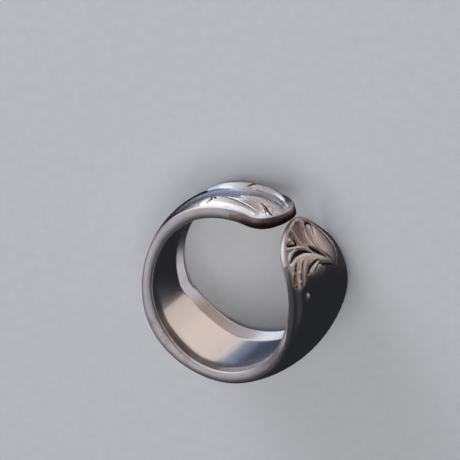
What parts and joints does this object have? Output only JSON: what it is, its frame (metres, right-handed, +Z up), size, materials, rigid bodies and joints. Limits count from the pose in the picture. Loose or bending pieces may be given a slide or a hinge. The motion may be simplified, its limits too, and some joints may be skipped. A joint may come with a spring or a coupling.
{
  "type": "spoon ring",
  "caption": "Open finger ring bent from one spoon handle, with a rounded leaf-decorated shield end and a curled decorated tongue end.",
  "frame": {"origin": "centre of the bounding box at its base, on the surface that the lying ring rests on", "axes": "+Z is up, out of the finger hole of the lying ring. The ring's own axis leans about 14 degrees from it, because the strip is much wider below at the shield than on the -X side. The gap between the two tips is towards +X and +Y."},
  "size_m": [0.0216, 0.0218, 0.0154],
  "materials": {
    "silver": "polished silver with brown tarnish in the recesses of its relief"
  },
  "bodies": {
    "root": {"spoon_ring": "silver"}
  },
  "joints": []
}
